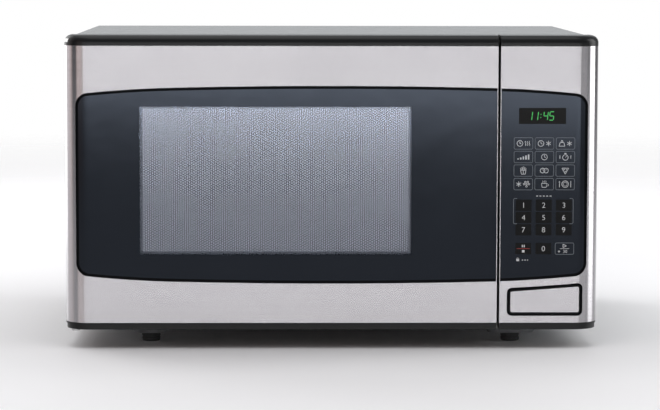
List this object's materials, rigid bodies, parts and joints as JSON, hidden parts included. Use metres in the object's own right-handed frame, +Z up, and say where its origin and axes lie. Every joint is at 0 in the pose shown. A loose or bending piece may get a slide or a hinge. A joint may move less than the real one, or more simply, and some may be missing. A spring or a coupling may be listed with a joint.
{
  "type": "microwave oven",
  "caption": "Countertop microwave oven: black cabinet, stainless front with a dark window and flat keypad, side-hinged door opened by a push button, glass turntable inside.",
  "frame": {"origin": "on the counter, in the middle of the width and of the depth", "axes": "+X to the right seen from the front, +Y towards the back, +Z up"},
  "size_m": [0.511, 0.394, 0.2995],
  "materials": {
    "black_moulding": "glossy black",
    "stainless_skin": "brushed lengthways",
    "window_glass": "dark printed border with a clear window",
    "keypad": "satin dark grey with printed keys",
    "display_lens": "smoked",
    "display_body": "matt black with green digits",
    "perforated_screen": "perforated, painted dark grey",
    "clear_film": "clear film",
    "cabinet_paint": "smooth gloss black",
    "cavity_enamel": "smooth light grey enamel",
    "galvanised_sheet": "galvanised",
    "hinge_steel": "zinc plated",
    "rubber": "matt",
    "moulded_parts": "moulded",
    "white_moulding": "natural acetal",
    "button_moulding": "moulded",
    "switch_body": "moulded",
    "switch_plunger": "red",
    "spring_steel": "drawn wire",
    "mica": "mica board",
    "ferrite": "sintered",
    "magnetron_metal": "bare",
    "motor_metal": "laminated and plated",
    "fan_plastic": "moulded",
    "circuit_board": "printed board",
    "core_iron": "laminated, varnished",
    "copper_winding": "enamelled wire",
    "can_metal": "drawn can",
    "diode_body": "moulded",
    "lamp_glass": "clear bulb",
    "tray_glass": "clear"
  },
  "bodies": {
    "cabinet": {"control_housing": "black_moulding", "control_fascia": "stainless_skin", "keypad_panel": "keypad", "display_window": "display_lens", "display_module": "display_body", "outer_cabinet": "cabinet_paint", "oven_cavity": "cavity_enamel", "front_frame": "cavity_enamel", "base_plate": "galvanised_sheet", "rear_panel": "galvanised_sheet", "waveguide": "galvanised_sheet", "filter_box": "galvanised_sheet", "magnetron_frame": "galvanised_sheet", "capacitor_clamp": "galvanised_sheet", "upper_hinge": "hinge_steel", "lower_hinge": "hinge_steel", "screws": "hinge_steel", "feet": "rubber", "cord_grommet": "rubber", "rear_spacers": "moulded_parts", "fan_shroud": "moulded_parts", "air_duct": "moulded_parts", "latch_housing": "moulded_parts", "lamp_socket": "moulded_parts", "interlock_switches": "switch_body", "button_spring": "spring_steel", "waveguide_cover": "mica", "magnetron_magnets": "ferrite", "magnetron_anode": "magnetron_metal", "fan_motor": "motor_metal", "turntable_motor": "motor_metal", "filter_board": "circuit_board", "control_board": "circuit_board", "transformer_core": "core_iron", "transformer_windings": "copper_winding", "capacitor": "can_metal", "thermal_cutouts": "can_metal", "high_voltage_diode": "diode_body", "cavity_lamp": "lamp_glass"},
    "door": {"door_housing": "black_moulding", "door_fascia": "stainless_skin", "door_glass": "window_glass", "door_plate": "cavity_enamel", "window_screen": "perforated_screen", "inner_film": "clear_film", "choke_cover": "black_moulding", "latch_spring": "spring_steel"},
    "door_latch": {"door_latch": "white_moulding"},
    "open_button": {"open_button": "button_moulding", "button_cap": "stainless_skin"},
    "release_lever": {"release_lever": "white_moulding"},
    "turntable": {"glass_tray": "tray_glass", "drive_coupler": "white_moulding"},
    "roller_ring": {"roller_ring": "white_moulding"},
    "roller_1": {"roller_1": "white_moulding"},
    "roller_2": {"roller_2": "white_moulding"},
    "roller_3": {"roller_3": "white_moulding"},
    "fan": {"fan": "fan_plastic"},
    "lower_switch_plunger": {"lower_switch_plunger": "switch_plunger"},
    "upper_switch_plunger": {"upper_switch_plunger": "switch_plunger"}
  },
  "joints": [
    {"name": "door_swing", "type": "hinge", "parent": "cabinet", "child": "door", "pos_m": [-0.246, -0.178, 0.15], "axis": [0, 0, -1], "range_deg": [0, 100]},
    {"name": "button_press", "type": "slide", "parent": "cabinet", "child": "open_button", "axis": [0, 1, 0], "range_m": [0, 0.0055], "stiffness_N_per_m": 900, "springref_m": -0.004, "deforming": ["button_spring"]},
    {"name": "lever_turn", "type": "hinge", "parent": "cabinet", "child": "release_lever", "pos_m": [0.15, -0.146, 0.0687], "axis": [1, 0, 0], "range_deg": [0, 15.5]},
    {"name": "latch_lift", "type": "slide", "parent": "door", "child": "door_latch", "axis": [0, 0, 1], "range_m": [0, 0.004], "stiffness_N_per_m": 300, "springref_m": -0.005, "deforming": ["latch_spring"]},
    {"name": "turntable_spin", "type": "hinge", "parent": "cabinet", "child": "turntable", "pos_m": [-0.054, 0.0113, 0.05], "axis": [0, 0, 1], "continuous": true},
    {"name": "ring_spin", "type": "hinge", "parent": "cabinet", "child": "roller_ring", "pos_m": [-0.054, 0.0113, 0.05], "axis": [0, 0, 1], "continuous": true},
    {"name": "roller_1_spin", "type": "hinge", "parent": "roller_ring", "child": "roller_1", "pos_m": [0.02784, 0.05855, 0.0503], "axis": [0.866, 0.5, 0], "continuous": true},
    {"name": "roller_2_spin", "type": "hinge", "parent": "roller_ring", "child": "roller_2", "pos_m": [-0.13584, 0.05855, 0.0503], "axis": [-0.866, 0.5, 0], "continuous": true},
    {"name": "roller_3_spin", "type": "hinge", "parent": "roller_ring", "child": "roller_3", "pos_m": [-0.054, -0.0832, 0.0503], "axis": [0, -1, 0], "continuous": true},
    {"name": "fan_spin", "type": "hinge", "parent": "cabinet", "child": "fan", "pos_m": [0.185, 0.16, 0.215], "axis": [0, 1, 0], "continuous": true},
    {"name": "lower_plunger_travel", "type": "slide", "parent": "cabinet", "child": "lower_switch_plunger", "axis": [0, 1, 0], "range_m": [0, 0.0008], "stiffness_N_per_m": 500, "springref_m": -0.001},
    {"name": "upper_plunger_travel", "type": "slide", "parent": "cabinet", "child": "upper_switch_plunger", "axis": [0, 1, 0], "range_m": [0, 0.0008], "stiffness_N_per_m": 500, "springref_m": -0.001}
  ],
  "couplings": [
    {"joint": "lever_turn", "follows": "button_press", "rad_per_m": 49.1},
    {"joint": "latch_lift", "follows": "button_press", "ratio": 0.727},
    {"joint": "ring_spin", "follows": "turntable_spin", "ratio": 0.5},
    {"joint": "roller_1_spin", "follows": "turntable_spin", "ratio": -5.9062},
    {"joint": "roller_2_spin", "follows": "turntable_spin", "ratio": -5.9062},
    {"joint": "roller_3_spin", "follows": "turntable_spin", "ratio": -5.9062}
  ]
}
